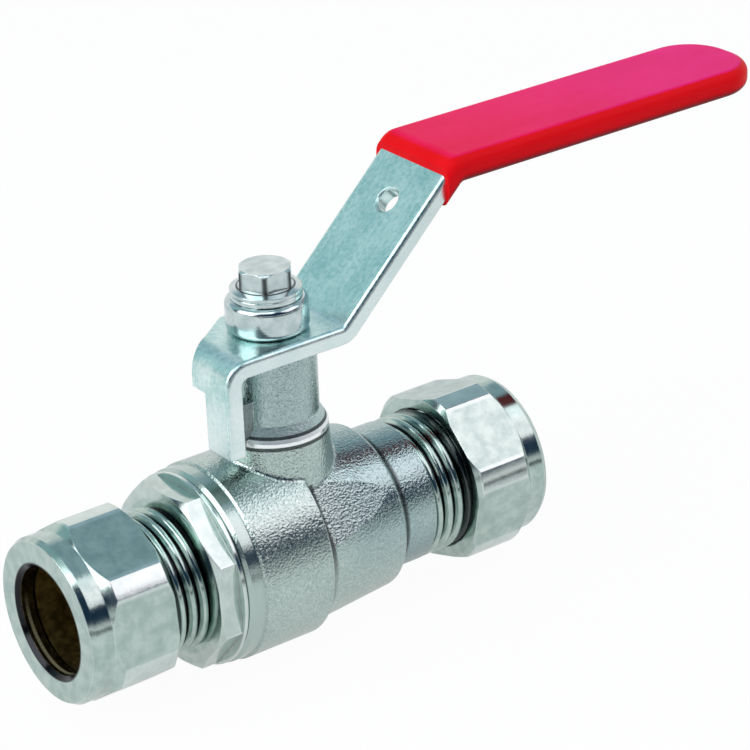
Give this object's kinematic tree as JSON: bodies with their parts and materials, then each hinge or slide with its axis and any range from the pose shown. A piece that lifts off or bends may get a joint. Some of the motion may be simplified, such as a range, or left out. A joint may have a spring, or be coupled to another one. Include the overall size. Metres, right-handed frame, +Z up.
{
  "type": "isolating valve",
  "caption": "Straight lever-operated ball valve with compression ends for copper pipe; a bent lever with a dipped grip turns the ball between stops.",
  "frame": {"origin": "centre of the ball, where the pipe's axis meets the stem's axis", "axes": "+X along the pipe from inlet to outlet, +Z up along the stem; the lever lies along +X when open"},
  "size_m": [0.1237, 0.029, 0.0664],
  "materials": {
    "pressed_nickel": "nickel plate over a grainy pressed surface",
    "turned_nickel": "bright nickel plate over turned and milled brass",
    "bare_brass": "bare turned brass",
    "stem_nickel": "bright nickel plate",
    "polished_chrome": "polished hard chrome",
    "zinc_steel": "bright zinc plate with a faint blue cast",
    "bright_steel": "bright zinc plate",
    "red_sleeve": "soft glossy dipped vinyl",
    "white_ptfe": "matt",
    "black_rubber": "matt"
  },
  "bodies": {
    "body": {"valve_body": "pressed_nickel", "end_connector": "turned_nickel", "body_gasket": "white_ptfe", "inlet_seat": "white_ptfe", "outlet_seat": "white_ptfe", "thrust_washer": "white_ptfe", "gland_packing": "white_ptfe", "gland_nut": "bare_brass"},
    "handle": {"lever": "zinc_steel", "lever_grip": "red_sleeve", "nut_collar": "bright_steel", "lock_washer": "bright_steel", "lever_nut": "bright_steel", "stem": "stem_nickel", "stem_seal": "black_rubber", "ball": "polished_chrome"},
    "inlet_ring": {"inlet_olive": "bare_brass"},
    "inlet_clamp": {"inlet_nut": "turned_nickel"},
    "outlet_ring": {"outlet_olive": "bare_brass"},
    "outlet_clamp": {"outlet_nut": "turned_nickel"}
  },
  "joints": [
    {"name": "lever_turn", "type": "hinge", "parent": "body", "child": "handle", "pos_m": [0, 0, 0], "axis": [0, 0, -1], "range_deg": [0, 90]},
    {"name": "inlet_ring_slide", "type": "slide", "parent": "body", "child": "inlet_ring", "axis": [-1, 0, 0], "range_m": [0, 0.0046]},
    {"name": "inlet_nut_turn", "type": "hinge", "parent": "inlet_ring", "child": "inlet_clamp", "pos_m": [-0.0317, 0, 0], "axis": [-1, 0, 0], "range_deg": [0, 900]},
    {"name": "outlet_ring_slide", "type": "slide", "parent": "body", "child": "outlet_ring", "axis": [1, 0, 0], "range_m": [0, 0.0046]},
    {"name": "outlet_nut_turn", "type": "hinge", "parent": "outlet_ring", "child": "outlet_clamp", "pos_m": [0.0328, 0, 0], "axis": [1, 0, 0], "range_deg": [0, 900]}
  ],
  "couplings": [
    {"joint": "inlet_ring_slide", "follows": "inlet_nut_turn", "m_per_rad": 0.0002887},
    {"joint": "outlet_ring_slide", "follows": "outlet_nut_turn", "m_per_rad": 0.0002887}
  ]
}
